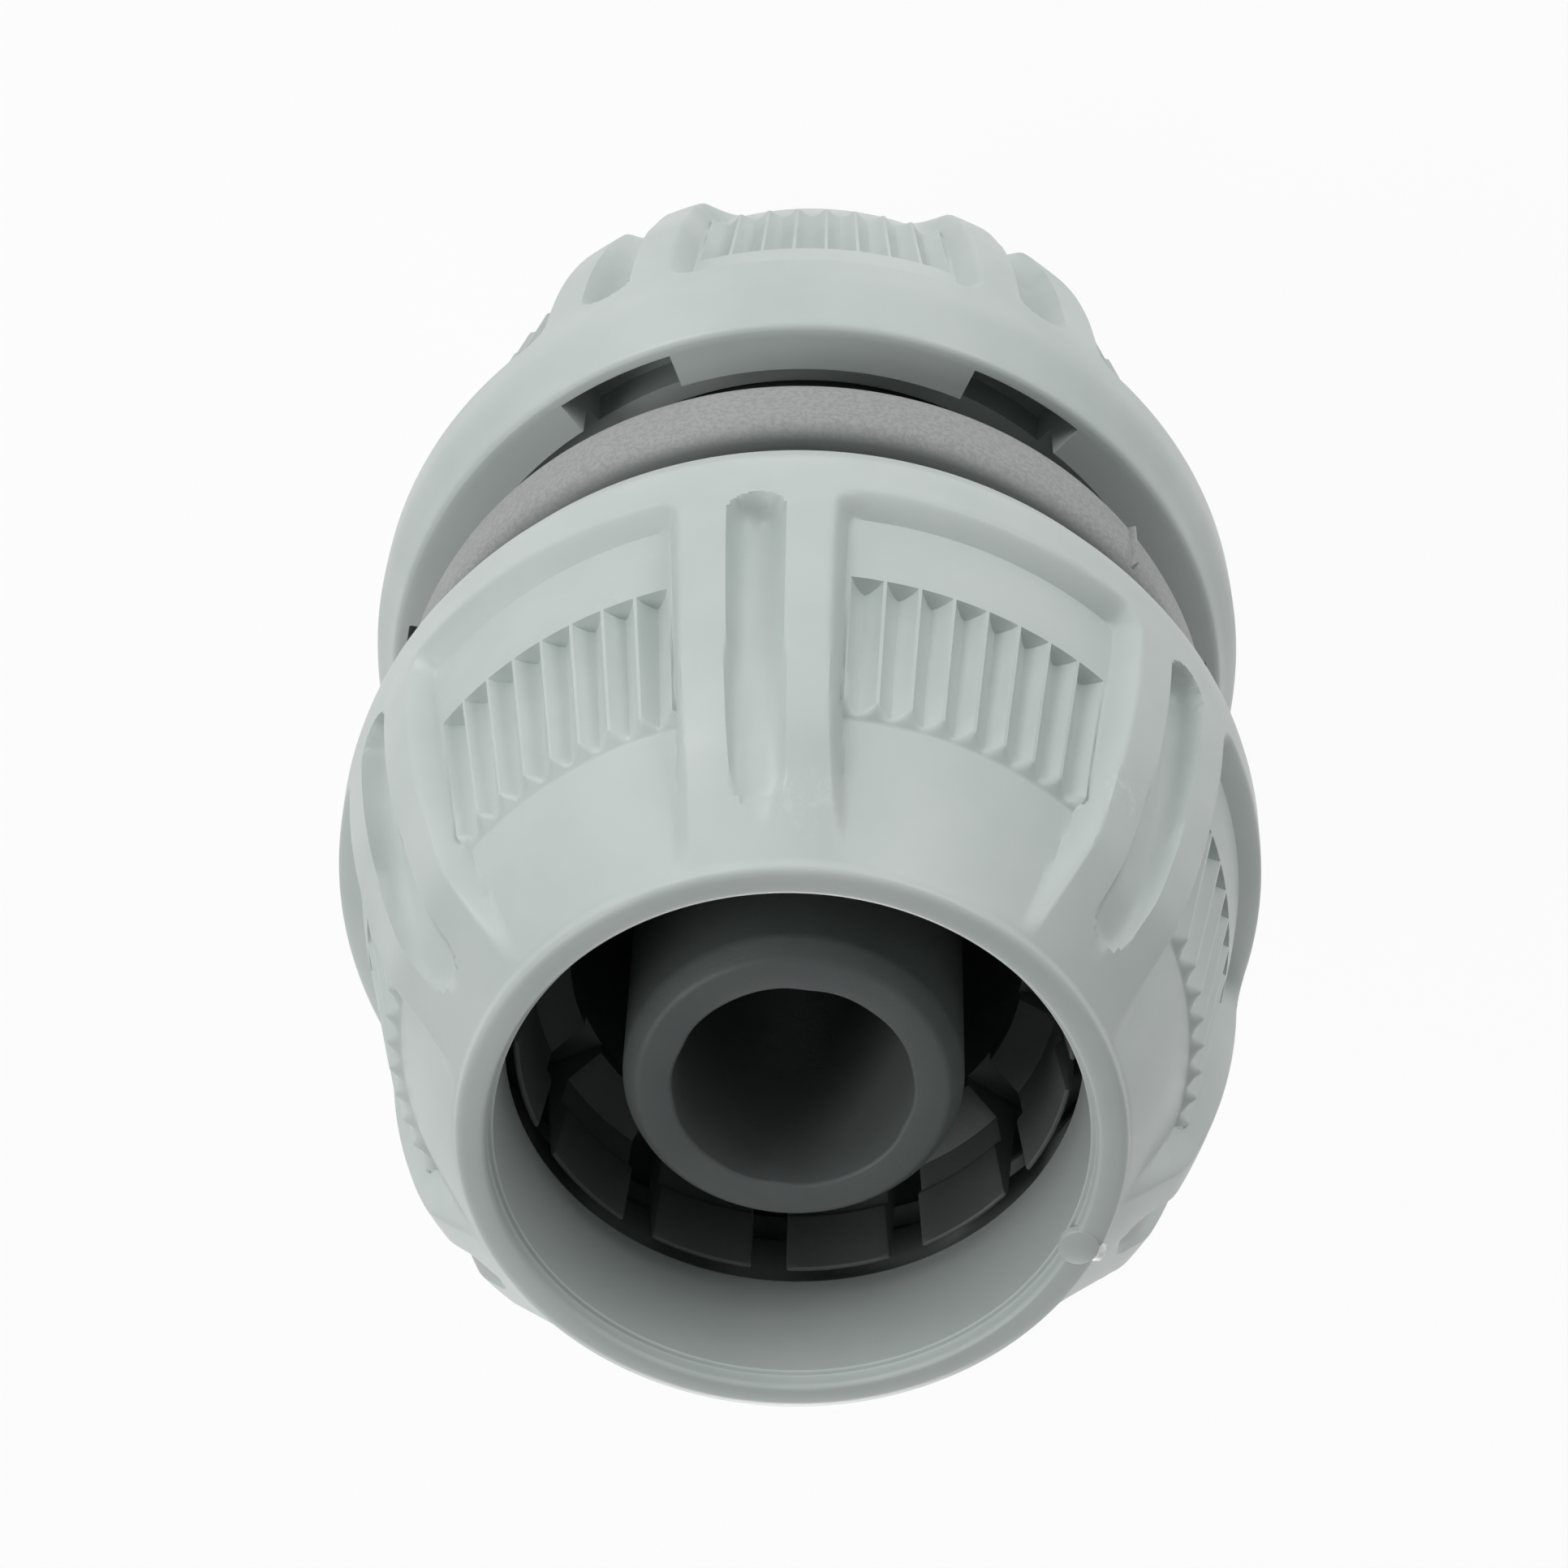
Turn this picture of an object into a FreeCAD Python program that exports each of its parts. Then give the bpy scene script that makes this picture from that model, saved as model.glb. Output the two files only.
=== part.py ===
import FreeCAD, Part
import math
import os

# Hose mender: one moulded centre body with a hose nipple and a ring of claws at each end, and two
# clamping nuts that screw on over the claws. It stands on the rim of the lower nut, with its axis
# along Z. All sizes are in millimetres. Heights called h are measured along the axis from the
# middle of the collar, towards the mouth of a nut.

# Overall
half_length = 29.15         # from the middle of the collar to the front of a nut
running_gap = 0.2           # radial gap between the body's thread and a nut's thread
tightening = 1.6            # how far a nut screws in before its cone bears on the claws

# Centre body
collar_r = 18.3
collar_half_width = 2.4
collar_round = 1.1
thread_r = 14.8             # outside of the body's thread
thread_end_h = 15.2
thread_chamfer = 0.8
cavity_r = 9.6              # outside of the ring-shaped space that takes the hose end
cavity_floor_h = 4.0
nipple_r = 7.0
nipple_face_r = 6.25        # outer edge of the nipple's front face
nipple_tip_h = 25.05
nipple_lead = 0.9           # length of the slope behind the nipple's front face
water_r = 4.95              # water passage

# Claws of the centre body
claw_count = 12
claw_slot_width = 1.5
claw_slot_root_h = 15.6
claw_tip_h = 22.4
claw_gap = 0.3              # between a claw's tip and the throat of the nut
claw_taper = 0.1            # radius that a claw gains in each millimetre towards its root
claw_land = 0.2             # thickness of a claw at its tip
claw_flare_r = 10.95        # inside radius where the tip's flare meets the cone below it
claw_flare_h = 19.4
claw_slot_angle = -93.6     # where the middle of one slot lies

# Outside of a nut
rim_wall = 5.0              # wall between the bore and the largest circle
rim_h = 8.5                 # height of the largest circle
face_h = 5.65               # open end, beside the collar
lip_inset = 0.9             # how far the open end's edge lies inside the largest circle
barrel_r = 41.0             # radius of the barrel's outline
nose_start_h = 22.5         # where the barrel starts to bend in more tightly, towards the mouth
ring_wall = 1.55            # wall of the mouth ring at its outer edge
ring_edge = 0.4             # width of the mouth ring's rounded edge
ring_edge_drop = 0.5        # height of that edge
front_edge = 0.2            # between the mouth's step and the flat front land

# Inside of a nut
mouth_r = 12.0
mouth_step = 0.25           # small step round the edge of the mouth
mouth_step_depth = 0.7
throat_r = 11.9             # narrowest place
throat_lead = 0.2           # how far the throat lies ahead of the claws' tips
undercut_depth = 0.8        # how far the wall steps back behind the throat
cone_r = 13.4               # wide end of the cone that squeezes the claws
shoulder_gap = 1.1          # left between the cone's end and the body's thread when tightened
counterbore_step = 1.85
counterbore_depth = 2.5

# Ribs, panels and pockets of a nut
rib_count = 6
rib_width_rim = 6.8
rib_width_mouth = 5.9
panel_start_h = 11.05
panel_end_h = 28.2
panel_sink = 1.05           # depth of a panel's start under the largest circle
panel_end_rise = 0.25       # height of a panel's end over the mouth ring's outer edge
panel_bulge = 0.73          # how far the middle of a panel's floor stands out
panel_wall_slope = 0.6      # how much closer to the rim the panel's end wall comes, per radius
panel_corner = 1.3
panel_fillet = 0.7
slot_width = 2.3
slot_start_h = 12.0
slot_end_h = 25.2
slot_start_depth = 1.5
slot_end_depth = 0.7
pocket_rim = 0.65           # wall outside a pocket
pocket_wall = 1.0           # wall between a pocket and the thread
pocket_angle = 17.0         # degrees
pocket_depth = 4.5

# Grips: ridged pads in the panels of a nut
groove_count = 8
groove_pitch = 4.6          # degrees
groove_share = 0.88         # share of the pitch that a groove takes, the rest being its ridge's top
grip_start_h = 14.8
grip_end_h = 22.3
grip_depth = 0.7            # depth of the grooves under the panel at their rim end
grip_rise = 0.57            # height of the ridges over the panel at their mouth end
grip_step = 0.1             # how proud of the panel a grip already is at its rim end
grip_side = 0.4             # degrees of pad beside the first and last groove
grip_skirt = 1.5            # how far a pad reaches under its panel

# How the two nuts are turned on the body, as the angle of the middle of one rib
upper_rib_angle = -83.15
lower_rib_angle = -60.6

cut_spare = 2.0             # how far a cutting tool reaches past the surface it cuts
same_h = 0.01               # heights closer than this count as one

bore_r = thread_r + running_gap
rim_r = bore_r + rim_wall
lip_r = rim_r - lip_inset
ring_end_r = mouth_r + ring_wall
ring_end_h = half_length - ring_edge_drop
throat_h = claw_tip_h + throat_lead
cone_end_h = thread_end_h + tightening + shoulder_gap
claw_tip_r = throat_r - claw_gap
claw_root_r = claw_tip_r + claw_taper * (claw_tip_h - thread_end_h)

panel_start_r = rim_r - panel_sink
panel_end_r = ring_end_r + panel_end_rise
panel_outside_r = rim_r + cut_spare
panel_outside_h = panel_start_h - panel_wall_slope * (panel_outside_r - panel_start_r)

z_axis = FreeCAD.Vector(0, 0, 1)
y_axis = FreeCAD.Vector(0, 1, 0)
x_axis = FreeCAD.Vector(1, 0, 0)
origin = FreeCAD.Vector(0, 0, 0)


def point(r, h):
    return FreeCAD.Vector(r, 0, h)


def outline_face(start, steps):
    """Face bounded by straight runs, given as their end, and arcs, given as a middle and an end."""
    edges = []
    here = start
    for step in steps + [start]:
        if isinstance(step, tuple):
            edges.append(Part.Arc(here, step[0], step[1]).toShape())
            here = step[1]
        else:
            edges.append(Part.makeLine(here, step))
            here = step
    return Part.Face(Part.Wire(edges))


def turned(start, steps, angle=360.0):
    """Outline turned about the Z axis. A part turn has its middle on the X axis."""
    shape = outline_face(start, steps).revolve(origin, z_axis, angle)
    shape.rotate(origin, z_axis, -angle / 2)
    return shape


def around(shape, count, first=0.0):
    copies = []
    for i in range(count):
        copy = shape.copy()
        copy.rotate(origin, z_axis, first + i * 360.0 / count)
        copies.append(copy)
    return copies


def circle_r(centre_r, centre_h, radius, h):
    return centre_r + math.sqrt(radius ** 2 - (h - centre_h) ** 2)


def nose_circle():
    """Centre and radius of the circle that leads smoothly from the barrel to the mouth ring."""
    start = point(circle_r(rim_r - barrel_r, rim_h, barrel_r, nose_start_h), nose_start_h)
    outward = (start - point(rim_r - barrel_r, rim_h)).normalize()
    run = point(ring_end_r, ring_end_h) - start
    radius = -run.dot(run) / (2 * run.dot(outward))
    return start - outward * radius, radius


def envelope_r(h):
    """Outside radius of a nut over its ribs, from its largest circle to its mouth ring."""
    if h <= nose_start_h:
        return circle_r(rim_r - barrel_r, rim_h, barrel_r, h)
    centre, radius = nose_circle()
    return circle_r(centre.x, centre.z, radius, h)


def panel_points():
    """Middle and end of the arc that is the floor of the sunk panel between two ribs."""
    middle = point((panel_start_r + panel_end_r) / 2 + panel_bulge, (panel_start_h + panel_end_h) / 2)
    return middle, point(panel_end_r, panel_end_h)


def panel_r(h):
    circle = Part.Arc(point(panel_start_r, panel_start_h), *panel_points()).toShape().Curve
    return circle_r(circle.Center.x, circle.Center.z, circle.Radius, h)


def slot_floor_r(h):
    share = (h - slot_start_h) / (slot_end_h - slot_start_h)
    return envelope_r(h) - slot_start_depth + (slot_start_depth - slot_end_depth) * share ** 2


def nut_shell():
    lip_rise = rim_h - face_h
    lip_run = rim_r - lip_r
    lip_radius = (lip_rise ** 2 + lip_run ** 2) / (2 * lip_run)
    lip_mid_h = (face_h + rim_h) / 2
    lip_mid_r = circle_r(rim_r - lip_radius, rim_h, lip_radius, lip_mid_h)
    barrel_mid_h = (rim_h + nose_start_h) / 2
    nose_mid_h = (nose_start_h + ring_end_h) / 2
    counterbore_r = bore_r + counterbore_step
    return turned(point(counterbore_r, face_h), [
        point(lip_r, face_h),
        (point(lip_mid_r, lip_mid_h), point(rim_r, rim_h)),
        (point(envelope_r(barrel_mid_h), barrel_mid_h), point(envelope_r(nose_start_h), nose_start_h)),
        (point(envelope_r(nose_mid_h), nose_mid_h), point(ring_end_r, ring_end_h)),
        (
            point(ring_end_r - ring_edge * 0.3, half_length - ring_edge_drop * 0.3),
            point(ring_end_r - ring_edge, half_length),
        ),
        point(mouth_r + mouth_step + front_edge, half_length),
        point(mouth_r + mouth_step, half_length - front_edge),
        point(mouth_r + mouth_step, half_length - mouth_step_depth),
        point(mouth_r, half_length - mouth_step_depth),
        point(throat_r, throat_h),
        point(throat_r + undercut_depth, throat_h - undercut_depth),
        point(cone_r, cone_end_h),
        point(bore_r, cone_end_h - (bore_r - cone_r)),
        point(bore_r, face_h + counterbore_depth),
        point(counterbore_r, face_h + counterbore_depth),
    ])


def rib_block():
    """Block as wide as a rib, tapering towards the mouth, with its middle on the X axis."""
    taper = (rib_width_rim - rib_width_mouth) / (panel_end_h - panel_start_h)
    bottom_h = panel_outside_h - cut_spare
    top_h = panel_end_h + 2 * cut_spare
    bottom_half = (rib_width_rim + taper * (panel_start_h - bottom_h)) / 2
    top_half = (rib_width_mouth - taper * (top_h - panel_end_h)) / 2
    corners = [
        FreeCAD.Vector(0, -bottom_half, bottom_h),
        FreeCAD.Vector(0, bottom_half, bottom_h),
        FreeCAD.Vector(0, top_half, top_h),
        FreeCAD.Vector(0, -top_half, top_h),
    ]
    outline = Part.makePolygon(corners + corners[:1])
    return Part.Face(outline).extrude(x_axis * (rim_r + 2 * cut_spare))


def edge_middle(edge):
    return edge.valueAt((edge.FirstParameter + edge.LastParameter) / 2)


def panel_cutter():
    """What is taken away between two ribs to leave a sunk panel with rounded edges and corners."""
    cutter = turned(point(panel_outside_r, panel_outside_h), [
        point(panel_start_r, panel_start_h),
        panel_points(),
        point(panel_end_r + cut_spare, panel_end_h + cut_spare),
        point(panel_outside_r, panel_end_h + cut_spare),
    ], 360.0 / rib_count)
    cutter = cutter.cut(around(rib_block(), 2, 180.0 / rib_count)[0])
    cutter = cutter.cut(around(rib_block(), 2, -180.0 / rib_count)[0]).Solids[0]
    corners = []
    for edge in cutter.Edges:
        low_h, high_h = sorted(vertex.Point.z for vertex in edge.Vertexes)
        if low_h < panel_outside_h + same_h and abs(high_h - panel_start_h) < same_h:
            corners.append(edge)
    cutter = cutter.makeFillet(panel_corner, corners).Solids[0]
    below_end = [face for face in cutter.Faces if face.CenterOfMass.z < panel_end_h]
    panel = min(below_end, key=lambda face: face.CenterOfMass.x)
    sunk_edges = [edge for edge in panel.Edges if edge_middle(edge).z < panel_end_h - same_h]
    return cutter.makeFillet(panel_fillet, sunk_edges)


def slot_cutter():
    """Round-ended trough along the middle of a rib, following the barrel."""
    radius = slot_width / 2
    heights = [slot_start_h, (slot_start_h + slot_end_h) / 2, slot_end_h]
    a, b, c = [point(slot_floor_r(h) + radius, h) for h in heights]
    centre = Part.Arc(a, b, c).toShape().Curve.Center
    sweep = (a - centre).getAngle(c - centre)
    tangent = y_axis.cross(a - centre)
    section = Part.Face(Part.Wire(Part.Circle(a, tangent, radius).toShape()))
    trough = section.revolve(centre, y_axis, -math.degrees(sweep))
    ends = [Part.makeSphere(radius, end) for end in (a, c)]
    return trough.fuse(ends)


def pocket_cutter():
    inner_r = bore_r + pocket_wall
    outer_r = lip_r - pocket_rim
    return turned(point(inner_r, face_h - cut_spare), [
        point(outer_r, face_h - cut_spare),
        point(outer_r, face_h + pocket_depth),
        point(inner_r, face_h + pocket_depth),
    ], pocket_angle)


def groove_cutter():
    """V-shaped groove that is sunk at the rim end of a grip and runs out level with the panel."""
    half_angle = math.radians(groove_pitch * groove_share / 2)
    sections = []
    for h, sunk, proud in ((grip_start_h, grip_depth, grip_step), (grip_end_h, 0, grip_rise)):
        floor_r = panel_r(h) - sunk
        depth = sunk + proud
        half_width = (floor_r + depth) * math.tan(half_angle) * (depth + cut_spare) / depth
        corners = [
            FreeCAD.Vector(floor_r, 0, h),
            FreeCAD.Vector(floor_r + depth + cut_spare, half_width, h),
            FreeCAD.Vector(floor_r + depth + cut_spare, -half_width, h),
        ]
        sections.append(Part.makePolygon(corners + corners[:1]))
    return Part.makeLoft(sections, True, True)


def grip():
    """Ridged pad for the panel whose middle is on the X axis."""
    width = groove_count * groove_pitch + 2 * grip_side
    start_r = panel_r(grip_start_h)
    end_r = panel_r(grip_end_h)
    pad = turned(point(start_r + grip_step, grip_start_h), [
        point(end_r + grip_rise, grip_end_h),
        point(end_r - grip_skirt, grip_end_h),
        point(start_r - grip_skirt, grip_start_h),
    ], width)
    grooves = []
    for i in range(groove_count):
        groove = groove_cutter()
        groove.rotate(origin, z_axis, (i - (groove_count - 1) / 2) * groove_pitch)
        grooves.append(groove)
    return pad, grooves


def nut():
    """Clamping nut with its mouth up and the middle of one rib on the X axis."""
    half_step = 180.0 / rib_count
    pad, grooves = grip()
    shell = nut_shell().cut(around(panel_cutter(), rib_count, half_step))
    shell = shell.fuse(around(pad, rib_count, half_step))
    cutters = around(slot_cutter(), rib_count) + around(pocket_cutter(), rib_count)
    for groove in grooves:
        cutters += around(groove, rib_count, half_step)
    return shell.cut(cutters)


def body_half():
    return turned(point(water_r, 0), [
        point(collar_r, 0),
        point(collar_r, collar_half_width - collar_round),
        (
            point(
                collar_r - collar_round * (1 - math.sqrt(0.5)),
                collar_half_width - collar_round * (1 - math.sqrt(0.5)),
            ),
            point(collar_r - collar_round, collar_half_width),
        ),
        point(thread_r, collar_half_width),
        point(thread_r, thread_end_h - thread_chamfer),
        point(thread_r - thread_chamfer, thread_end_h),
        point(claw_root_r, thread_end_h),
        point(claw_tip_r, claw_tip_h),
        point(claw_tip_r - claw_land, claw_tip_h),
        point(claw_flare_r, claw_flare_h),
        point(cavity_r, claw_flare_h - (claw_flare_r - cavity_r)),
        point(cavity_r, cavity_floor_h),
        point(nipple_r, cavity_floor_h),
        point(nipple_r, nipple_tip_h - nipple_lead),
        point(nipple_face_r, nipple_tip_h),
        point(water_r, nipple_tip_h),
    ])


def claw_slots():
    inner_r = (cavity_r + nipple_r) / 2
    slot = Part.makeBox(
        claw_root_r + cut_spare - inner_r,
        claw_slot_width,
        claw_tip_h + cut_spare - claw_slot_root_h,
        FreeCAD.Vector(inner_r, -claw_slot_width / 2, claw_slot_root_h),
    )
    return around(slot, claw_count, claw_slot_angle)


def centre_body():
    half = body_half().cut(claw_slots())
    return half.fuse(half.mirror(origin, z_axis)).removeSplitter()


def stood(shape, turn):
    """Shape turned about the axis and moved up from the middle of the collar to its place."""
    placed = shape.copy()
    placed.rotate(origin, z_axis, turn)
    placed.translate(z_axis * half_length)
    return placed


def build():
    upper = nut()
    lower = upper.copy()
    lower.rotate(origin, x_axis, 180)
    nodes = {
        "centre_body": stood(centre_body(), 0),
        "upper_nut": stood(upper, upper_rib_angle),
        "lower_nut": stood(lower, lower_rib_angle),
    }
    os.makedirs("parts", exist_ok=True)
    for name, shape in nodes.items():
        solid = shape.Solids[0]
        if len(shape.Solids) != 1 or not solid.isValid():
            raise RuntimeError(name + " is not one valid solid")
        solid.exportStep("parts/" + name + ".step")
        print(name, "volume", round(solid.Volume), "cubic mm")


build()
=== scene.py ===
import bpy
import bmesh
import math
import numpy as np
from mathutils import Matrix, Vector


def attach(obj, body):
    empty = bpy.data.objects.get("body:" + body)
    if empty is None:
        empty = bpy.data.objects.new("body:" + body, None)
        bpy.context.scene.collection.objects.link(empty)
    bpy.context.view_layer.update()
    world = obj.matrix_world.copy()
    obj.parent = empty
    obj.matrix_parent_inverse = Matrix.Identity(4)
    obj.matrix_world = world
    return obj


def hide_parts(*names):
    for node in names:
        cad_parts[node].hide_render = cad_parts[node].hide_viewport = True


# Hose mender, standing on the mouth of its lower nut with its axis along Z.
# Shapes are worked out in millimetres, with h measured from the middle of the collar towards a
# mouth, and put in their place in metres.

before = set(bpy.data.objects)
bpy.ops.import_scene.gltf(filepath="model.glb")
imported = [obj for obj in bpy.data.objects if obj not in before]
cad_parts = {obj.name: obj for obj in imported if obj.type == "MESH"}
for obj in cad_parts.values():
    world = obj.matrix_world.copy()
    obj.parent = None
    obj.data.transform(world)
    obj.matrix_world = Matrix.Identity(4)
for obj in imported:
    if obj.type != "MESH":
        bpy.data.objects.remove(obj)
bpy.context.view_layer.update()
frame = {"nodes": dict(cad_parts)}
print("frame loaded:", ", ".join(frame["nodes"]))

mender = {
    "halfLength": 29.15,
    "upperRibTurn": -83.15,   # degrees, where the middle of one rib of the upper nut lies
    "lowerRibTurn": -60.6,
    "sameWithin": 0.02,       # radii nearer than this are on the same surface
}

thread = {
    "pitch": 3.0,
    "rootShare": 0.14, "flankShare": 0.16,   # of the pitch: half of the root, and one flank
}


# Small helpers

def fade(x):
    # 0 below 0, 1 above 1, with a soft start and end
    x = np.clip(x, 0.0, 1.0)
    return x * x * (3.0 - 2.0 * x)


def spunPiece(name, rows, columns):
    # closed outline of (radius, height) rows, spun a full turn about Z
    bm = bmesh.new()
    verts = [bm.verts.new((r, 0.0, h)) for r, h in rows]
    edges = [bm.edges.new((verts[i - 1], verts[i])) for i in range(len(verts))]
    bmesh.ops.spin(bm, geom=verts + edges, cent=(0, 0, 0), axis=(0, 0, 1), angle=math.tau,
                   steps=columns, use_merge=True)
    bmesh.ops.recalc_face_normals(bm, faces=bm.faces)
    return finishedPiece(name, bm)


def finishedPiece(name, bm):
    mesh = bpy.data.meshes.new(name)
    bm.to_mesh(mesh)
    bm.free()
    piece = bpy.data.objects.new(name, mesh)
    bpy.context.collection.objects.link(piece)
    return piece


def reshape(piece, shaper):
    # moves every point: shaper gets and returns radius, angle in degrees and height
    count = len(piece.data.vertices)
    flat = np.empty(count * 3)
    piece.data.vertices.foreach_get("co", flat)
    x, y, h = flat.reshape(count, 3).T
    r, angle, h = shaper(np.hypot(x, y), np.degrees(np.arctan2(y, x)) % 360.0, h)
    turn = np.radians(angle)
    moved = np.stack([r * np.cos(turn), r * np.sin(turn), h], axis=1)
    piece.data.vertices.foreach_set("co", moved.ravel())
    piece.data.update()


def placed(piece, turn=0.0, lower=False):
    # from millimetres about the collar's middle to its place in metres
    flip = Matrix.Rotation(math.pi, 4, "X") if lower else Matrix.Identity(4)
    lift = Matrix.Translation((0, 0, mender["halfLength"]))
    piece.data.transform(
        Matrix.Scale(0.001, 4) @ lift @ Matrix.Rotation(math.radians(turn), 4, "Z") @ flip)
    piece.data.update()


def softShaded(piece, sharpAngle):
    piece.data.shade_smooth()
    piece.data.set_sharp_from_angle(angle=math.radians(sharpAngle))


def flight(h, angle):
    # 0 in the root and 1 on the crest of a trapezoid thread
    phase = (h / thread["pitch"] - angle / 360.0) % 1.0
    return np.clip((0.5 - np.abs(phase - 0.5) - thread["rootShare"]) / thread["flankShare"], 0.0, 1.0)


# Camera: fitted to the ellipses of the near mouth, nipple and rims

photoCamera = {
    "place": (0.000828, -0.115462, 0.211384),
    "turn": (-32.636, 1.1425, -178.2167),   # degrees
    "lens": 109.713,
}

cameraData = bpy.data.cameras.new("photoCamera")
cameraData.lens = photoCamera["lens"]
cameraData.sensor_width = 36.0
cameraData.clip_start = 0.01
camera = bpy.data.objects.new("photoCamera", cameraData)
camera.location = photoCamera["place"]
camera.rotation_euler = [math.radians(a) for a in photoCamera["turn"]]
bpy.context.collection.objects.link(camera)
bpy.context.scene.camera = camera
print("camera set")


# Materials

def linear(hexColour):
    # sRGB hex to the linear colour that a shader takes
    parts = [int(hexColour[i:i + 2], 16) / 255.0 for i in (1, 3, 5)]
    return [p / 12.92 if p <= 0.04045 else ((p + 0.055) / 1.055) ** 2.4 for p in parts] + [1.0]


def addNode(tree, kind, links=(), **settings):
    # links: (own input, other node, other output)
    node = tree.nodes.new(kind)
    for key, value in settings.items():
        if hasattr(node, key):
            setattr(node, key, value)
        else:
            node.inputs[key.replace("_", " ")].default_value = value
    for own, other, output in links:
        tree.links.new(other.outputs[output], node.inputs[own])
    return node


def newMaterial(name):
    material = bpy.data.materials.new(name)
    material.use_nodes = True
    material.node_tree.nodes.clear()
    return material, material.node_tree


nutPlastic = {
    "colour": "#C6CECB",
    "cloudColour": "#BEC7C4",
    "roughness": 0.42,
    "cloudSize": 7.0,     # mm, soft patches in the moulding's gloss and tone
    "grainSize": 0.11,    # mm, the spark-eroded mould finish, drawn a little coarse so that it shows
    "grainDepth": 0.0035,  # mm
}

bodyPlastic = {
    "colour": "#6C7170",
    "cloudColour": "#656A69",
    "roughness": 0.5,
    "cloudSize": 5.0,
    "grainSize": 0.16,
    "grainDepth": 0.012,
}

collarPebblesAndPaintedLight = {            # the collar's rim is textured coarsely for grip; its paler colour is painted light, its pits painted shade
    "colour": "#A0A2A1",
    "paintedPitShadeColour": "#929594",
    "startR": 17.6, "fullR": 18.22,   # mm
    "pebbleSize": 0.22,
    "pebbleDepth": 0.025,
}

palePatches = {
    "colour": "#DDE4E1",
    "size": 1.7,          # mm
    "streakSize": 0.45,   # mm
    "strength": 0.35,
    "spots": [(-0.3, -15.1, 56.0), (-13.0, -12.6, 50.5), (8.4, -16.9, 44.5)],   # mm
}


def mouldedPlastic(name, look):
    # ABS or acetal from a spark-eroded mould: one even colour, a satin gloss that varies softly
    # from place to place, and a very fine pebbled grain
    material, tree = newMaterial(name)
    place = addNode(tree, "ShaderNodeTexCoord")
    cloud = addNode(tree, "ShaderNodeTexNoise", [("Vector", place, "Object")],
                    Scale=1000.0 / look["cloudSize"], Detail=3.0, Roughness=0.5)
    spread = addNode(tree, "ShaderNodeMapRange", [("Value", cloud, "Fac")],
                     From_Min=0.35, From_Max=0.65)
    tone = addNode(tree, "ShaderNodeMix", [(0, spread, "Result")], data_type="RGBA")
    tone.inputs[6].default_value = linear(look["colour"])
    tone.inputs[7].default_value = linear(look["cloudColour"])
    gloss = addNode(tree, "ShaderNodeMapRange", [("Value", cloud, "Fac")],
                    From_Min=0.3, From_Max=0.7,
                    To_Min=look["roughness"] - 0.04, To_Max=look["roughness"] + 0.05)
    grain = addNode(tree, "ShaderNodeTexNoise", [("Vector", place, "Object")],
                    Scale=1000.0 / look["grainSize"], Detail=2.0, Roughness=0.6)
    bump = addNode(tree, "ShaderNodeBump", [("Height", grain, "Fac")],
                   Strength=1.0, Distance=look["grainDepth"] * 0.001)
    shader = addNode(tree, "ShaderNodeBsdfPrincipled",
                     [("Base Color", tone, 2), ("Roughness", gloss, "Result"),
                      ("Normal", bump, "Normal")], IOR=1.5)
    addNode(tree, "ShaderNodeOutputMaterial", [("Surface", shader, "BSDF")])
    return material, tree, {"place": place, "tone": tone, "bump": bump, "shader": shader}


def addPalePatches(tree, made):
    # pale patches, broken up by fine streaks
    streaks = addNode(tree, "ShaderNodeTexNoise", [("Vector", made["place"], "Object")],
                      Scale=1000.0 / palePatches["streakSize"], Detail=3.0, Roughness=0.65)
    broken = addNode(tree, "ShaderNodeMapRange", [("Value", streaks, "Fac")],
                     From_Min=0.5, From_Max=0.68)
    tone = made["tone"]
    for spot in palePatches["spots"]:
        near = addNode(tree, "ShaderNodeVectorMath", [(0, made["place"], "Object")],
                       operation="DISTANCE")
        near.inputs[1].default_value = [v * 0.001 for v in spot]
        patch = addNode(tree, "ShaderNodeMapRange", [("Value", near, "Value")],
                        From_Min=palePatches["size"] * 0.001, From_Max=palePatches["size"] * 0.0003,
                        To_Max=palePatches["strength"])
        share = addNode(tree, "ShaderNodeMath", [(0, patch, "Result"), (1, broken, "Result")],
                        operation="MULTIPLY")
        tone = addNode(tree, "ShaderNodeMix", [(0, share, "Value"), (6, tone, 2)], data_type="RGBA")
        tone.inputs[7].default_value = linear(palePatches["colour"])
    tree.links.new(tone.outputs[2], made["shader"].inputs["Base Color"])


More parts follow.
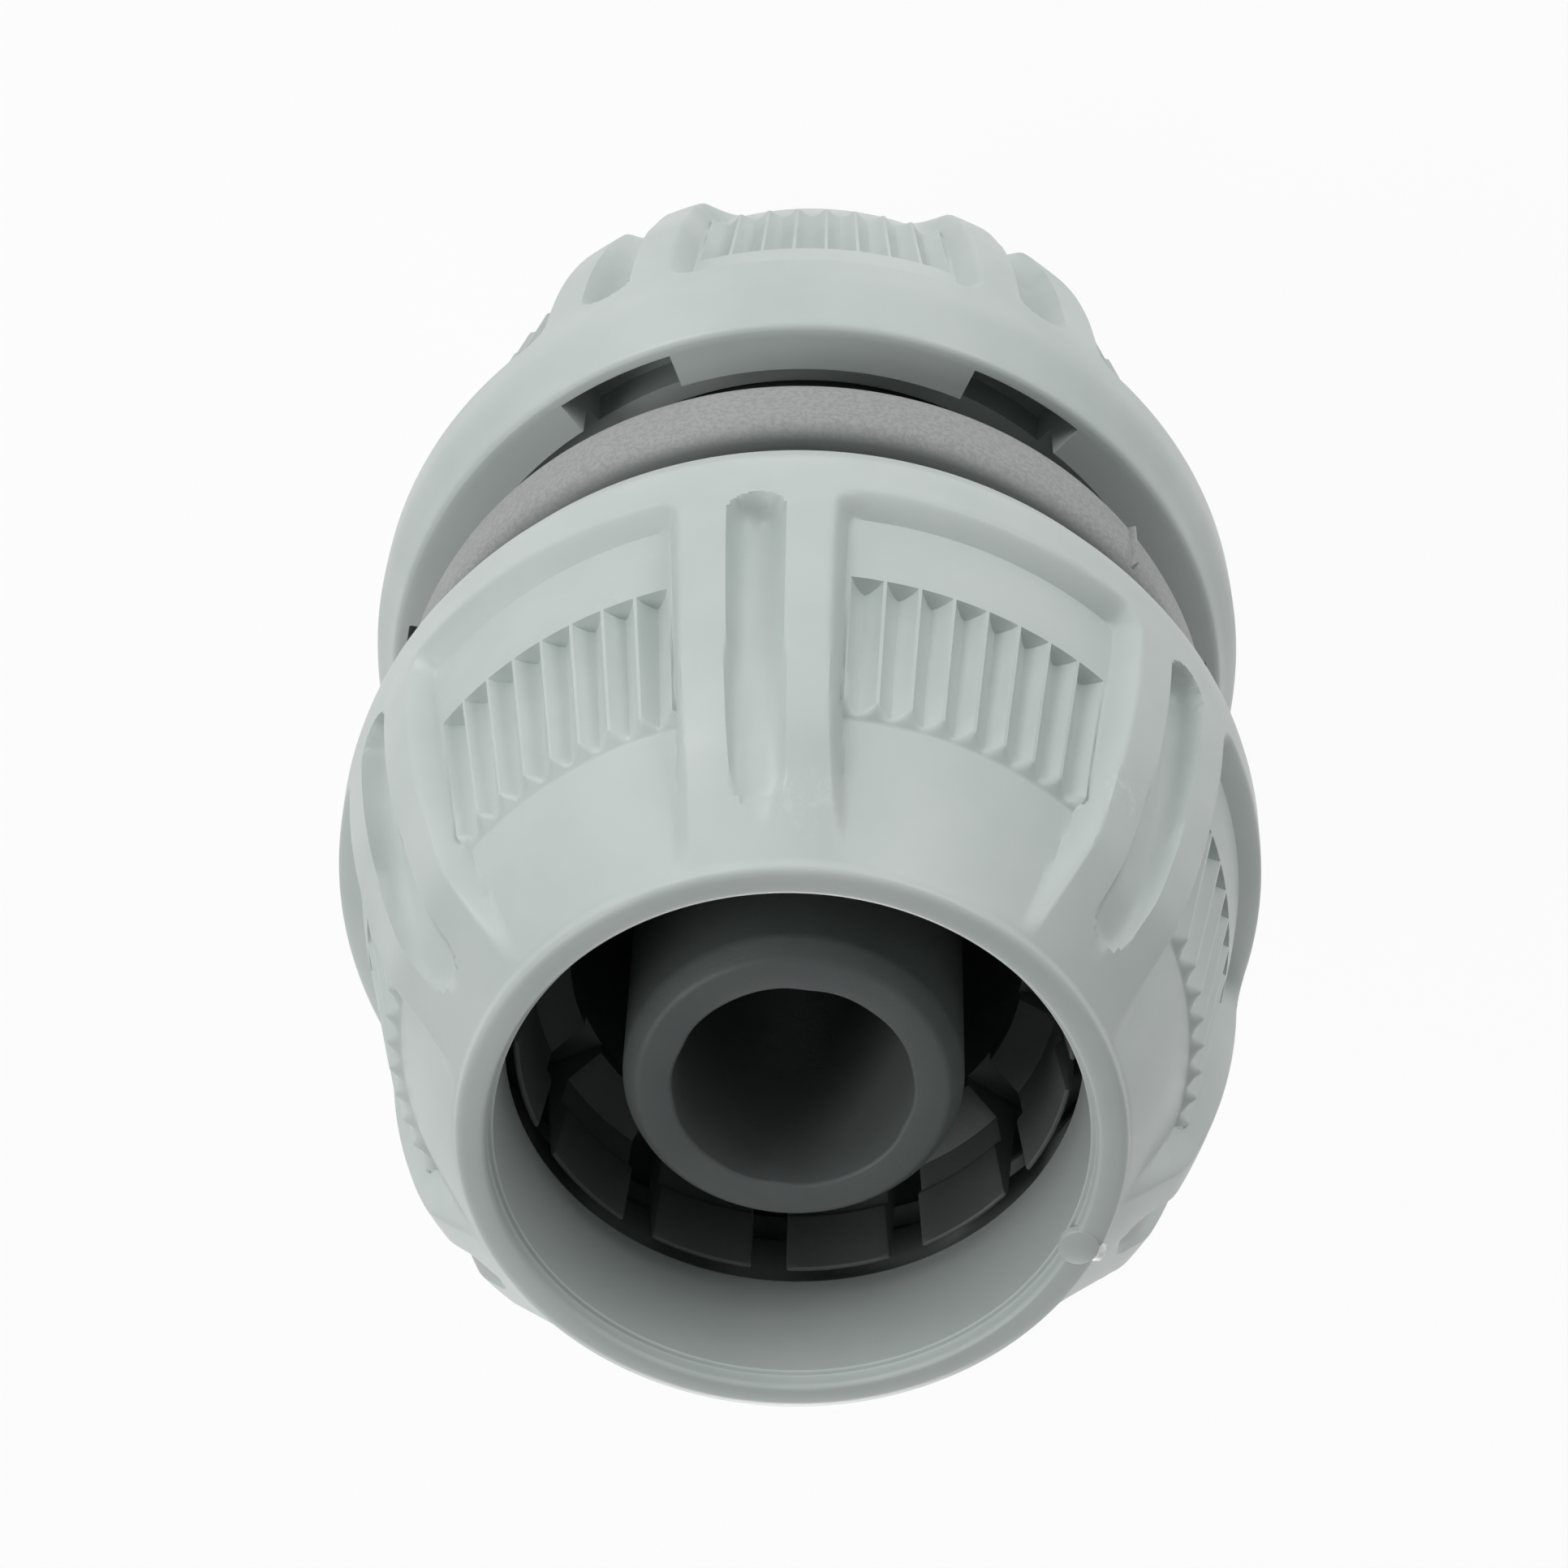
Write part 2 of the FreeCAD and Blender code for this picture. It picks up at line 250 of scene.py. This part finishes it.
def addCollarPebblesAndPaintedLight(tree, made):
    # coarse pebbles on the collar's rim only, with painted shade darkening the pits; the rim's paler
    # colour is painted light, standing in for the lamps falling on it
    flat = addNode(tree, "ShaderNodeVectorMath", [(0, made["place"], "Object")],
                   operation="MULTIPLY")
    flat.inputs[1].default_value = (1.0, 1.0, 0.0)
    radius = addNode(tree, "ShaderNodeVectorMath", [(0, flat, "Vector")], operation="LENGTH")
    onBand = addNode(tree, "ShaderNodeMapRange", [("Value", radius, "Value")],
                     From_Min=collarPebblesAndPaintedLight["startR"] * 0.001, From_Max=collarPebblesAndPaintedLight["fullR"] * 0.001)
    pebbles = addNode(tree, "ShaderNodeTexNoise", [("Vector", made["place"], "Object")],
                      Scale=1000.0 / collarPebblesAndPaintedLight["pebbleSize"], Detail=3.0, Roughness=0.7)
    paintedPitShade = addNode(tree, "ShaderNodeMapRange", [("Value", pebbles, "Fac")],
                   From_Min=0.56, From_Max=0.42)
    # painted light: the rim paler than the plastic beside it, with painted shade in the pits
    paintedLitBand = addNode(tree, "ShaderNodeMix", [(0, paintedPitShade, "Result")], data_type="RGBA")
    paintedLitBand.inputs[6].default_value = linear(collarPebblesAndPaintedLight["colour"])
    paintedLitBand.inputs[7].default_value = linear(collarPebblesAndPaintedLight["paintedPitShadeColour"])
    tone = addNode(tree, "ShaderNodeMix",
                   [(0, onBand, "Result"), (6, made["tone"], 2), (7, paintedLitBand, 2)], data_type="RGBA")
    bump = addNode(tree, "ShaderNodeBump",
                   [("Strength", onBand, "Result"), ("Height", pebbles, "Fac"),
                    ("Normal", made["bump"], "Normal")], Distance=collarPebblesAndPaintedLight["pebbleDepth"] * 0.001)
    tree.links.new(tone.outputs[2], made["shader"].inputs["Base Color"])
    tree.links.new(bump.outputs["Normal"], made["shader"].inputs["Normal"])


nutMaterial, nutTree, nutMade = mouldedPlastic("mouldedAbsPaleGrey", nutPlastic)
addPalePatches(nutTree, nutMade)
bodyMaterial, bodyTree, bodyMade = mouldedPlastic("mouldedAcetalDarkGrey", bodyPlastic)
addCollarPebblesAndPaintedLight(bodyTree, bodyMade)
tornPlastic = dict(nutPlastic, colour="#FBFDFC", cloudColour="#F2F5F4", roughness=0.55)
tornMaterial = mouldedPlastic("stressWhitenedAbs", tornPlastic)[0]
for nodeName, nodeObject in frame["nodes"].items():
    nodeObject.data.materials.clear()
    nodeObject.data.materials.append(bodyMaterial if nodeName == "centre_body" else nutMaterial)
print("materials made")


# Clamping nuts

nut = {
    "rimR": 20.0, "rimH": 8.5,      # largest circle
    "barrelArc": 41.0,              # radius of the barrel's outline
    "noseH": 24.2, "noseEnd": (13.55, 28.65),   # from here a straight slope leads to the mouth ring
    "noseEase": 0.5,
    "ribTop": (6.4, 5.5),           # width of a rib's top, at the rim end and at the mouth
    "ribWall": 0.7,                 # how wide the soft wall beside a rib is
    "panelTopH": 10.37, "panelLength": 17.0, "panelEndWall": 0.8, "panelCorner": 1.7,
    "panelArc": (-38.165, 3.247, 57.646),   # radius and height of its centre, and its radius
    "slotWidth": 2.3, "slotH": (12.0, 25.6), "slotDepth": (1.35, 0.45),
    "slotWall": 0.85, "slotTaper": 0.1, "slotTaperH": (22.0, 26.5),
    "grooveCount": 8, "groovePitch": 4.6, "grooveDepth": (0.78, 0.47),
    "gripH": (14.78, 22.36), "gripProud": 0.57, "gripEdge": 0.42, "gripEndSlope": 1.15,
    "pocketHalfAngle": 8.5, "pocketR": (16.0, 18.45), "pocketEndH": 10.15,
    "counterboreH": 8.15, "shoulderH": 16.3,
    "threadR": 15.0, "threadDepth": 0.8, "threadH": (8.5, 16.1),
}


def barrelRadius(h):
    arc = nut["barrelArc"]
    barrel = nut["rimR"] - arc + np.sqrt(arc ** 2 - (np.minimum(h, nut["noseH"]) - nut["rimH"]) ** 2)
    endR, endH = nut["noseEnd"]
    share = np.maximum(h - nut["noseH"], 0.0) / (endH - nut["noseH"])
    return barrel + (endR - barrel) * share


def outerRadius(h):
    # the barrel with the bend into its nose eased
    ease = nut["noseEase"] * fade(nut["noseEnd"][1] - h)
    return (barrelRadius(h - ease) + 2 * barrelRadius(h) + barrelRadius(h + ease)) / 4


def panelRadius(h):
    centreR, centreH, radius = nut["panelArc"]
    return centreR + np.sqrt(radius ** 2 - (h - centreH) ** 2)


def nutRows():
    # heights of the barrel's rows, close together at the panels' and the grips' edges
    heights = [9.1, 9.7, 10.1, 10.32, 10.42, 10.52, 10.64, 10.76, 10.88, 11.0, 11.1, 11.17, 11.25,
               11.4, 11.6, 11.9, 12.3, 12.8, 13.4, 14.0, 14.5, 14.7, 14.78, 14.84, 14.95, 15.3,
               15.9, 16.6, 17.5, 18.4, 19.3, 20.2, 21.0, 21.6, 21.85, 21.95, 22.15, 22.3, 22.36,
               22.45, 22.8, 23.3, 23.7, 24.0, 24.3, 24.6, 24.9, 25.2, 25.5, 25.8, 26.1, 26.4, 26.7,
               27.1, 27.5, 27.9, 28.2, 28.4, 28.55]
    # open end: flat land, lip and largest circle
    rows = [(16.9, 5.65), (18.42, 5.65), (18.48, 5.65), (18.8, 5.65), (19.0, 5.72), (19.12, 5.9),
            (19.2, 6.2), (19.45, 6.8), (19.75, 7.4), (19.95, 8.0), (20.0, 8.5)]
    rows += [(float(outerRadius(np.array(h))), h) for h in heights]
    # mouth ring: crisp outer edge, flat front, fine step round the mouth
    rows += [(13.55, 28.65), (13.52, 28.84), (13.44, 28.99), (13.3, 29.08), (13.1, 29.13),
             (12.75, 29.15), (12.46, 29.15), (12.36, 29.11), (12.29, 29.02), (12.26, 28.9),
             (12.25, 28.55), (12.21, 28.47), (12.06, 28.45), (12.0, 28.38), (12.0, 27.6)]
    # throat, the cone that squeezes the claws, and the shoulder
    rows += [(11.96, 25.2), (11.92, 22.65), (11.95, 22.55), (12.1, 22.4), (12.7, 21.8),
             (13.0, 20.5), (13.4, 18.0), (13.6, 17.7), (14.9, 16.4)]
    # bore: thread, then the counterbore that clears the collar
    steps = 28
    startH, endH = nut["shoulderH"] - 0.05, nut["counterboreH"] + 0.05
    rows += [(nut["threadR"], startH + (endH - startH) * i / steps) for i in range(steps + 1)]
    rows += [(15.1, 8.15), (15.95, 8.15), (16.05, 8.15), (16.75, 8.15), (16.85, 8.05), (16.85, 5.75)]
    return rows


def nutColumns():
    # angles over half a sector, from a rib's middle to a panel's middle, close together at details
    half = [0.0, 1.0, 1.6, 2.0, 2.4, 2.8, 3.2, 3.6, 4.0, 4.4, 4.9, 5.7, 6.6, 7.5, 8.35, 8.55, 9.0,
            9.4, 9.8, 10.2, 10.6, 10.95, 11.15, 11.35]
    pitch = nut["groovePitch"]
    for i in range(nut["grooveCount"] // 2):
        crest = 30.0 - (nut["grooveCount"] // 2 - i) * pitch
        half += [crest + pitch * s for s in (0.0, 0.05, 0.18, 0.36, 0.5, 0.64, 0.82, 0.95)]
    sector = half + [30.0] + [60.0 - a for a in reversed(half[1:])]
    return np.array([a + 60.0 * i for i in range(6) for a in sector])


columnAngles = nutColumns()


def nutShape(r, angle, h):
    # the spun columns are even, so each is first turned to its own angle
    column = np.rint(angle / 360.0 * len(columnAngles)).astype(int) % len(columnAngles)
    angle = columnAngles[column]
    fromRib = (angle + 30.0) % 60.0 - 30.0
    fromPanel = 30.0 - np.abs(fromRib)
    outside = (h > nut["rimH"] + 0.1) & (h < nut["noseEnd"][1] - 0.05)
    outside = outside & (np.abs(r - outerRadius(h)) < mender["sameWithin"])

    # sunk panels between the ribs, with a sloping end wall and rounded corners
    share = (h - nut["panelTopH"]) / nut["panelLength"]
    ribHalf = (nut["ribTop"][0] + (nut["ribTop"][1] - nut["ribTop"][0]) * share) / 2
    side = (r * np.sin(np.radians(np.abs(fromRib))) - ribHalf) / nut["ribWall"]
    end = (h - nut["panelTopH"]) / nut["panelEndWall"]
    corner = nut["panelCorner"]
    a, b = corner - side, corner - end
    inward = corner - np.hypot(np.maximum(a, 0), np.maximum(b, 0)) - np.minimum(np.maximum(a, b), 0)
    sink = np.maximum(outerRadius(h) - panelRadius(h), 0.0)
    sink = sink * np.clip(inward, 0.0, 1.0) ** 1.3   # soft upper edge, crisp foot

    # fluted grip: sunk in its panel at the rim end, proud of it at the mouth end
    startH, endH = nut["gripH"]
    along = (h - startH) / (endH - startH)
    chord = panelRadius(startH) + (panelRadius(endH) + nut["gripProud"] - panelRadius(startH)) * along
    proud = chord - panelRadius(h)
    place = fromPanel / nut["groovePitch"]
    across = np.minimum(np.abs(place % 1.0 - 0.5) / 0.45, 1.0)   # 0 in a flute, 1 on a ridge
    flute = np.where(place < nut["grooveCount"] / 2, (1.0 - across) * (1.0 + 0.6 * across), 0.0)
    flute = flute * np.clip((h - startH) / 0.06, 0.0, 1.0)
    fluteDepth = nut["grooveDepth"][0] + (nut["grooveDepth"][1] - nut["grooveDepth"][0]) * along
    width = nut["groovePitch"] * nut["grooveCount"] / 2
    inGrip = (along > -0.02) & (fromPanel < width + nut["gripEdge"] + 0.38)
    edge = 1.0 - fade((fromPanel - width - 0.02) / nut["gripEdge"])
    stand = np.minimum(proud - fluteDepth * flute, np.maximum(endH - h, 0.0) * nut["gripEndSlope"])
    grip = np.where(inGrip, stand * edge, 0.0)

    # trough down the middle of each rib, running out towards the mouth
    low, high = nut["slotH"]
    beyond = h - np.clip(h, low, high)
    taperStart, taperEnd = nut["slotTaperH"]
    narrow = 1.0 - nut["slotTaper"] * fade((h - taperStart) / (taperEnd - taperStart))
    reach = np.hypot(r * np.sin(np.radians(fromRib)) / narrow, beyond)
    run = np.clip((h - low) / (high - low), 0.0, 1.0)
    depth = nut["slotDepth"][0] + (nut["slotDepth"][1] - nut["slotDepth"][0]) * run ** 2
    inside = np.clip((nut["slotWidth"] / 2 - reach) / nut["slotWall"], 0.0, 1.0)
    trough = depth * np.sqrt(1.0 - (1.0 - inside) ** 2)

    r = np.where(outside, r - sink + grip - trough, r)

    # pockets in the open end
    innerR, outerR = nut["pocketR"]
    inPocket = (np.abs(fromRib) < nut["pocketHalfAngle"]) & (h < nut["counterboreH"] + 0.01)
    inPocket = inPocket & (r > innerR) & (r < outerR)
    h = np.where(inPocket, nut["pocketEndH"], h)

    # screw thread cut into the bore
    startH, endH = nut["threadH"]
    cut = flight(h, angle) * fade((h - startH) / 1.2) * fade((endH - h) / 1.2)
    onThread = np.abs(r - nut["threadR"]) < mender["sameWithin"]
    r = np.where(onThread, r + nut["threadDepth"] * cut, r)
    return r, angle, h


def clampingNut(name, turn, lower):
    piece = spunPiece(name, nutRows(), len(columnAngles))
    reshape(piece, nutShape)
    placed(piece, turn, lower)
    softShaded(piece, 38)
    piece.data.materials.append(nutMaterial)
    return piece


upperShell = clampingNut("upperNutShell", mender["upperRibTurn"], False)
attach(upperShell, "upper_nut")
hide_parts("upper_nut")
lowerShell = clampingNut("lowerNutShell", mender["lowerRibTurn"], True)
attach(lowerShell, "lower_nut")
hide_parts("lower_nut")
print("nuts made:", len(upperShell.data.polygons), "faces each")


# Centre body

body = {
    "collarR": 18.3, "collarHalf": 2.4, "threadR": 14.8, "threadDepth": 0.9, "threadEndH": 15.2,
    "cavityR": 9.6, "cavityFloorH": 4.0, "nippleR": 7.0, "waterR": 4.95,
    "clawCount": 12, "clawSlot": 1.5, "clawSlotTurn": -93.6, "lipChips": 0.09,
}


def bodyRows():
    # half of the outline: collar, thread, claws' root, cavity, nipple and water passage
    steps = 40
    startH, endH = body["collarHalf"] + 0.1, body["threadEndH"] - 0.6
    collar, cavity, floorH = body["collarR"], body["cavityR"], body["cavityFloorH"]
    nipple, water = body["nippleR"], body["waterR"]
    half = [(collar, 0.0), (collar, 0.7), (18.28, 1.2), (18.18, 1.62), (17.98, 1.98), (17.68, 2.24),
            (17.3, 2.38), (17.0, 2.4), (15.0, 2.4), (14.85, 2.42)]
    half += [(body["threadR"], startH + (endH - startH) * i / steps) for i in range(steps + 1)]
    half += [(14.4, 15.0), (14.1, 15.15), (13.9, 15.2), (12.3, 15.2), (12.27, 15.25), (12.24, 15.56),
             (12.2, 15.6), (9.68, 15.6), (cavity, 15.55), (cavity, 10.0), (cavity, 4.5), (9.5, 4.1),
             (9.3, floorH), (7.3, floorH), (7.06, 4.1), (nipple, 4.4), (nipple, 14.0),
             (nipple, 24.0), (6.98, 24.15), (6.9, 24.35), (6.5, 24.88), (6.38, 25.0), (6.2, 25.05),
             (5.12, 25.05), (5.0, 25.0), (water, 24.88), (water, 18.0), (water, 8.0)]
    return half + [(r, -h) for r, h in reversed(half[1:])]


def bodyShape(r, angle, h):
    side = np.abs(h)
    onThread = (np.abs(r - body["threadR"]) < mender["sameWithin"]) & (side > body["collarHalf"])
    turn = np.where(h > 0, angle, -angle)
    crest = flight(side, turn)
    ends = fade((side - 3.0) / 1.2) * fade((14.4 - side) / 1.4)
    r = np.where(onThread, r - body["threadDepth"] * (1.0 - crest * ends), r)
    # the nipple's lip is a little uneven where the mould's core met it
    lip = (side > 24.7) & (r < 5.2)
    wave = np.sin(np.radians(angle * 7 + 40)) * np.sin(np.radians(angle * 3)) * 0.5 + 0.5
    r = np.where(lip, r - body["lipChips"] * wave ** 3, r)
    return r, angle, h


core = spunPiece("bodyCore", bodyRows(), 288)
reshape(core, bodyShape)
placed(core)
softShaded(core, 50)
core.data.materials.append(bodyMaterial)
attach(core, "centre_body")
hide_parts("centre_body")
print("body core made:", len(core.data.polygons), "faces")


def clawRing(name, lower):
    # one claw is a partial spin, then its two sides are made parallel to the slots beside it
    step = 360.0 / body["clawCount"]
    # outer side, rounded tip, inner side with its barb, root
    rows = [(12.3, 15.3), (12.27, 15.6), (11.95, 19.0), (11.63, 22.2), (11.56, 22.36), (11.5, 22.4),
            (11.42, 22.4), (11.36, 22.34), (11.33, 22.1), (10.95, 19.45), (11.0, 19.25), (11.3, 18.8),
            (11.1, 17.3), (9.6, 16.2), (9.6, 15.3)]
    bm = bmesh.new()
    outline = bm.faces.new([bm.verts.new((r, 0.0, h)) for r, h in rows])
    bmesh.ops.spin(bm, geom=[outline] + outline.edges[:] + outline.verts[:], cent=(0, 0, 0),
                   axis=(0, 0, 1), angle=math.radians(step), steps=8, use_duplicate=False)
    for vert in bm.verts:
        r = math.hypot(vert.co.x, vert.co.y)
        share = math.degrees(math.atan2(vert.co.y, vert.co.x)) / step * 2.0 - 1.0
        reach = step / 2 - math.degrees(math.asin(body["clawSlot"] / 2 / r))
        turn = math.radians(share * reach)
        vert.co.x, vert.co.y = r * math.cos(turn), r * math.sin(turn)
    bmesh.ops.recalc_face_normals(bm, faces=bm.faces)
    corners = [e for e in bm.edges if len(e.link_faces) == 2 and e.calc_face_angle() > 1.0]
    bmesh.ops.bevel(bm, geom=corners, offset=0.1, offset_type="OFFSET", affect="EDGES", segments=2,
                    profile=0.5, material=-1)
    claw = bm.verts[:] + bm.edges[:] + bm.faces[:]
    for i in range(body["clawCount"]):
        turn = body["clawSlotTurn"] + step * (i + 0.5)
        copy = bmesh.ops.duplicate(bm, geom=claw)["geom"]
        bmesh.ops.rotate(bm, cent=(0, 0, 0), matrix=Matrix.Rotation(math.radians(turn), 3, "Z"),
                         verts=[g for g in copy if isinstance(g, bmesh.types.BMVert)])
    bmesh.ops.delete(bm, geom=claw, context="VERTS")
    if lower:
        bmesh.ops.scale(bm, vec=(1, 1, -1), verts=bm.verts)
        bmesh.ops.reverse_faces(bm, faces=bm.faces)
    piece = finishedPiece(name, bm)
    placed(piece)
    softShaded(piece, 35)
    piece.data.materials.append(bodyMaterial)
    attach(piece, "centre_body")
    return piece


upperClaws = clawRing("upperClaws", False)
lowerClaws = clawRing("lowerClaws", True)
print("claw rings made:", len(upperClaws.data.polygons), "faces each")


# Traces of moulding: the cut-off gate on the mouth ring and the collar's parting line

traces = {
    "gateTurn": 159.4, "gateAcross": 12.6, "gateH": 28.97,   # degrees, mm
    "gateR": 0.83, "gateDepth": 0.4,
    "tornFrom": 118.0, "tornTo": 196.0,                      # degrees round the gate
    "tornR": 0.78, "tornFootH": -0.16,                       # mm, its inner edge and its foot
    "partingTurns": (-140.3, 39.7), "partingProud": 0.22,
    "partingSize": (0.9, 0.3, 3.7),                          # mm: depth, width, length
}


def gateMark():
    bm = bmesh.new()
    bmesh.ops.create_cone(bm, cap_ends=True, segments=48, radius1=traces["gateR"],
                          radius2=traces["gateR"], depth=traces["gateDepth"])
    top = [e for e in bm.edges if all(v.co.z > 0 for v in e.verts)]
    bmesh.ops.bevel(bm, geom=top, offset=0.05, offset_type="OFFSET", affect="EDGES", segments=2,
                    profile=0.5, material=-1)
    return bm


def tornEdge():
    # thin crescent of torn plastic beside the gate, higher in its middle
    bm = bmesh.new()
    innerR, footH = traces["tornR"], traces["tornFootH"]
    corners = [(innerR, 0, footH), (1.2, 0, footH), (1.12, 0, 0.15), (0.82, 0, 0.25)]
    section = [bm.verts.new(c) for c in corners]
    outline = bm.faces.new(section)
    turn = math.radians(traces["tornTo"] - traces["tornFrom"])
    bmesh.ops.rotate(bm, cent=(0, 0, 0), verts=section,
                     matrix=Matrix.Rotation(math.radians(traces["tornFrom"]), 3, "Z"))
    bmesh.ops.spin(bm, geom=[outline] + outline.edges[:] + section, cent=(0, 0, 0), axis=(0, 0, 1),
                   angle=turn, steps=16, use_duplicate=False)
    for vert in bm.verts:
        around = math.degrees(math.atan2(vert.co.y, vert.co.x)) % 360.0
        share = (around - traces["tornFrom"]) / (traces["tornTo"] - traces["tornFrom"])
        swell = max(math.sin(math.pi * min(max(share, 0.0), 1.0)), 0.05) ** 0.7
        ragged = 1.0 + 0.16 * math.sin(share * 31.0) * math.sin(share * 13.0 + 1.0)
        reach = innerR + (math.hypot(vert.co.x, vert.co.y) - innerR) * swell * ragged
        around = math.radians(around)
        vert.co.x, vert.co.y = reach * math.cos(around), reach * math.sin(around)
        vert.co.z = footH + (vert.co.z - footH) * swell
    bmesh.ops.recalc_face_normals(bm, faces=bm.faces)
    return bm


def onRing(name, bm, material):
    across = math.radians(traces["gateTurn"])
    place = Matrix.Translation((traces["gateAcross"] * math.cos(across),
                                traces["gateAcross"] * math.sin(across), traces["gateH"]))
    bmesh.ops.transform(bm, matrix=place, verts=bm.verts)
    piece = finishedPiece(name, bm)
    placed(piece)
    softShaded(piece, 38)
    piece.data.materials.append(material)
    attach(piece, "upper_nut")


onRing("gateMark", gateMark(), nutMaterial)
onRing("tornEdge", tornEdge(), tornMaterial)


def partingLines():
    # the thin ridge where the halves of the mould met, across the collar's rim
    bm = bmesh.new()
    for turn in traces["partingTurns"]:
        made = bmesh.ops.create_cube(bm, size=1.0)["verts"]
        bmesh.ops.scale(bm, verts=made, vec=traces["partingSize"])
        tips = [v for v in made if v.co.x > 0]
        bmesh.ops.scale(bm, verts=tips, vec=(1.0, 0.35, 0.86))
        middle = body["collarR"] + traces["partingProud"] - traces["partingSize"][0] / 2
        bmesh.ops.translate(bm, verts=made, vec=(middle, 0, 0))
        bmesh.ops.rotate(bm, cent=(0, 0, 0), verts=made,
                         matrix=Matrix.Rotation(math.radians(turn), 3, "Z"))
    bmesh.ops.bevel(bm, geom=bm.edges[:], offset=0.04, offset_type="OFFSET", affect="EDGES",
                    segments=2, profile=0.5, material=-1)
    return bm


parting = finishedPiece("collarPartingLines", partingLines())
placed(parting)
softShaded(parting, 38)
parting.data.materials.append(bodyMaterial)
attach(parting, "centre_body")
print("moulding traces made")


# Floor, lights and background

studio = {
    # name, direction from the object, power in watts
    "lights": [
        ("frontLeftLight", (0.5, -0.86, 0.15), 1.2),
        ("frontRightLight", (-0.6, -0.8, 0.15), 0.97),
        ("leftLight", (0.67, -0.1, 0.73), 0.95),
        ("backLight", (0.0, 1.0, 0.12), 2.2),
    ],
    "distance": 0.6, "size": 0.3,
    "skyLow": 0.42, "skyHigh": 0.12,    # strength of the sky at the horizon and overhead
    "floorClear": 0.94,                 # the rest of the floor is paper, which keeps a faint shadow
}

for lightName, direction, power in studio["lights"]:
    data = bpy.data.lights.new(lightName, "AREA")
    data.shape = "DISK"
    data.size = studio["size"]
    data.energy = power
    light = bpy.data.objects.new(lightName, data)
    towards = Vector(direction).normalized()
    light.location = towards * studio["distance"] + Vector((0, 0, 0.03))
    light.rotation_euler = (-towards).to_track_quat("-Z", "Y").to_euler()
    bpy.context.collection.objects.link(light)

bm = bmesh.new()
bmesh.ops.create_grid(bm, x_segments=1, y_segments=1, size=2.0)
floor = finishedPiece("studioFloor", bm)
floorMaterial, tree = newMaterial("whitePaperFloor")
rays = addNode(tree, "ShaderNodeLightPath")
# the camera sees white through it, so that a nut screwed off below it is still seen
clear = addNode(tree, "ShaderNodeMath", [(0, rays, "Is Camera Ray")], operation="MULTIPLY")
clear.inputs[1].default_value = studio["floorClear"]
clearOrShadow = addNode(tree, "ShaderNodeMath", [(0, clear, "Value"), (1, rays, "Is Shadow Ray")],
                        operation="MAXIMUM")
paper = addNode(tree, "ShaderNodeBsdfDiffuse", Color=linear("#F4F5F4"))
glow = addNode(tree, "ShaderNodeEmission", Color=(1, 1, 1, 1), Strength=1.0)
glass = addNode(tree, "ShaderNodeBsdfTransparent")
lit = addNode(tree, "ShaderNodeMixShader",
              [("Fac", rays, "Is Glossy Ray"), (1, paper, "BSDF"), (2, glow, "Emission")])
both = addNode(tree, "ShaderNodeMixShader",
               [("Fac", clearOrShadow, "Value"), (1, lit, "Shader"), (2, glass, "BSDF")])
addNode(tree, "ShaderNodeOutputMaterial", [("Surface", both, "Shader")])
floor.data.materials.append(floorMaterial)

world = bpy.data.worlds.new("studioWorld")
bpy.context.scene.world = world
world.use_nodes = True
tree = world.node_tree
tree.nodes.clear()
rays = addNode(tree, "ShaderNodeLightPath")
seen = addNode(tree, "ShaderNodeMath", [(0, rays, "Is Camera Ray"), (1, rays, "Is Transmission Ray")],
               operation="MAXIMUM")
way = addNode(tree, "ShaderNodeTexCoord")
height = addNode(tree, "ShaderNodeSeparateXYZ", [("Vector", way, "Generated")])
daylight = addNode(tree, "ShaderNodeMapRange", [("Value", height, "Z")],
                   To_Min=studio["skyLow"], To_Max=studio["skyHigh"])
# nothing shines from below the floor, which lets light through
above = addNode(tree, "ShaderNodeMath", [(0, height, "Z")], operation="GREATER_THAN")
above.inputs[1].default_value = 0.0
skyOnly = addNode(tree, "ShaderNodeMath", [(0, daylight, "Result"), (1, above, "Value")],
                  operation="MULTIPLY")
level = addNode(tree, "ShaderNodeMapRange", [("Value", seen, "Value"), ("To Min", skyOnly, "Value")],
                To_Max=1.0)
sky = addNode(tree, "ShaderNodeBackground", [("Strength", level, "Result")], Color=(1, 1, 1, 1))
addNode(tree, "ShaderNodeOutputWorld", [("Surface", sky, "Background")])

bpy.context.scene.view_settings.view_transform = "Standard"
print("floor and lights set")
